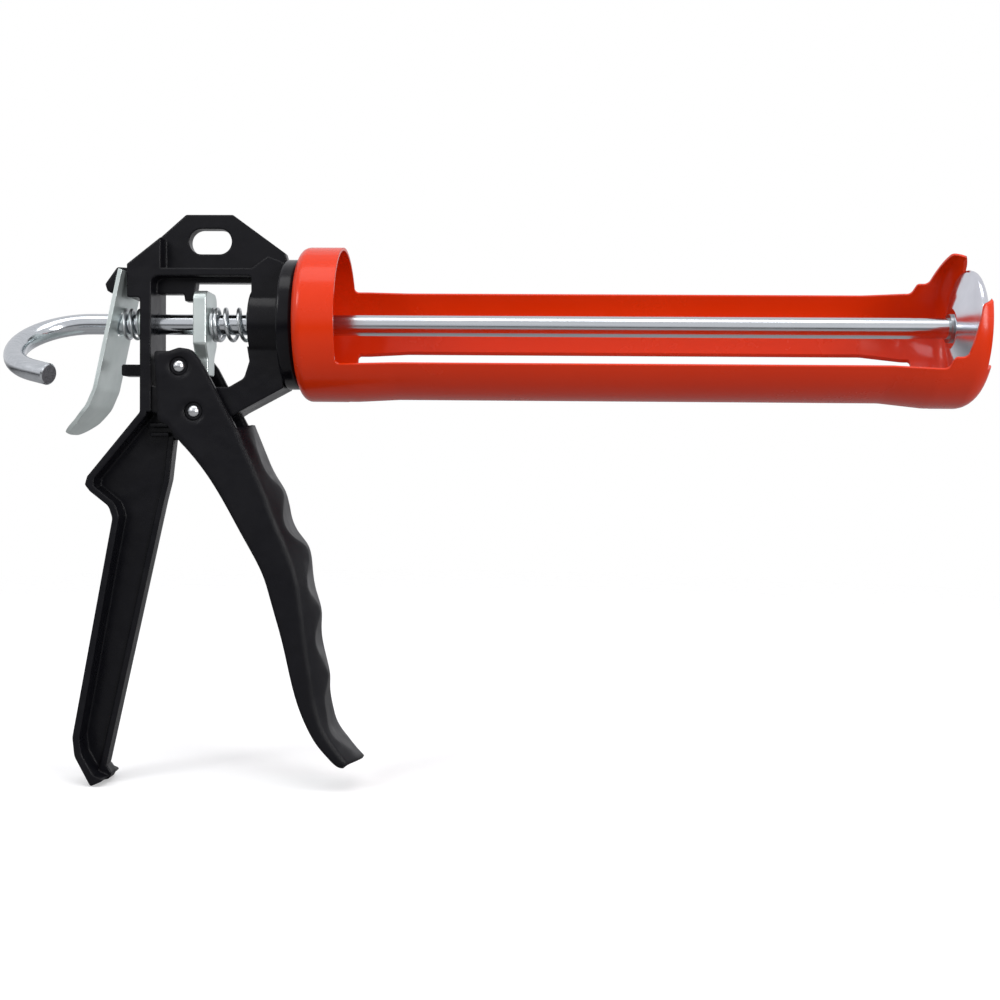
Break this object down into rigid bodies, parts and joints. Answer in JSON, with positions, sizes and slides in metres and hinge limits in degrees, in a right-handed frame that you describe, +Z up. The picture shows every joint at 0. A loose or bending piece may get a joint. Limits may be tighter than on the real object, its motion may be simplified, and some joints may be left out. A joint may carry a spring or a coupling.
{
  "type": "caulking gun",
  "caption": "Hand-squeezed caulking gun: a trigger and grip plate push a smooth rod and plunger along a half-open swivelling cradle that holds a sealant cartridge.",
  "frame": {"origin": "on the push rod's axis, at the inner face of the cradle's back wall, where the cartridge sits", "axes": "+X forward along the push rod towards the nozzle, +Z up with the handle hanging down, +Y to the gun's left"},
  "size_m": [0.321, 0.0638, 0.1939],
  "materials": {
    "cast_black": "semi-gloss black coating on a die casting",
    "cradle_paint": "gloss orange-red paint on pressed steel",
    "zinc_rod": "bright zinc plate, drawn along the rod",
    "zinc_plate": "bright zinc plate on stamped steel",
    "chrome_disc": "polished plating",
    "spring_steel": "plated spring wire",
    "pin_steel": "polished pin ends",
    "clip_black": "blackened spring steel"
  },
  "bodies": {
    "frame": {"frame_body": "cast_black", "swivel_flange": "cast_black", "cradle_bush": "zinc_plate", "cradle_washer": "zinc_plate", "cradle_nut": "zinc_plate", "drive_spring": "spring_steel", "release_spring": "spring_steel", "spring_seat": "zinc_plate"},
    "cradle": {"cradle": "cradle_paint"},
    "plunger": {"plunger_disc": "chrome_disc"},
    "push_rod": {"push_rod": "zinc_rod", "plunger_washer": "zinc_plate", "plunger_nut": "zinc_plate"},
    "trigger": {"trigger": "cast_black", "pivot_pin": "pin_steel", "thrust_pin": "pin_steel", "pivot_clip_near": "clip_black", "pivot_clip_far": "clip_black", "thrust_clip_near": "clip_black", "thrust_clip_far": "clip_black"},
    "roller": {"thrust_roller": "zinc_plate"},
    "drive_plate": {"drive_plate": "zinc_plate"},
    "release_lever": {"release_lever": "zinc_plate"}
  },
  "joints": [
    {"name": "cradle_turn", "type": "hinge", "parent": "frame", "child": "cradle", "pos_m": [0, 0, 0], "axis": [1, 0, 0], "continuous": true},
    {"name": "rod_slide", "type": "slide", "parent": "frame", "child": "plunger", "axis": [1, 0, 0], "range_m": [-0.203, 0]},
    {"name": "rod_turn", "type": "hinge", "parent": "plunger", "child": "push_rod", "pos_m": [0, 0, 0], "axis": [1, 0, 0], "range_deg": [-266, 27]},
    {"name": "trigger_squeeze", "type": "hinge", "parent": "frame", "child": "trigger", "pos_m": [-0.0363, 0, -0.0299], "axis": [0, 1, 0], "range_deg": [0, 26], "stiffness_Nm_per_rad": 0.6, "springref_deg": -14.32},
    {"name": "roller_spin", "type": "hinge", "parent": "trigger", "child": "roller", "pos_m": [-0.0413, 0, -0.0149], "axis": [0, 1, 0], "continuous": true},
    {"name": "plate_push", "type": "slide", "parent": "frame", "child": "drive_plate", "axis": [1, 0, 0], "range_m": [0, 0.0072], "deforming": ["drive_spring"]},
    {"name": "release_press", "type": "hinge", "parent": "frame", "child": "release_lever", "pos_m": [-0.0609, 0, 0.0166], "axis": [0, -1, 0], "range_deg": [0, 6], "stiffness_Nm_per_rad": 0.15, "springref_deg": -22.92, "deforming": ["release_spring"]}
  ],
  "couplings": [
    {"joint": "plate_push", "follows": "trigger_squeeze", "m_per_rad": 0.0156}
  ]
}
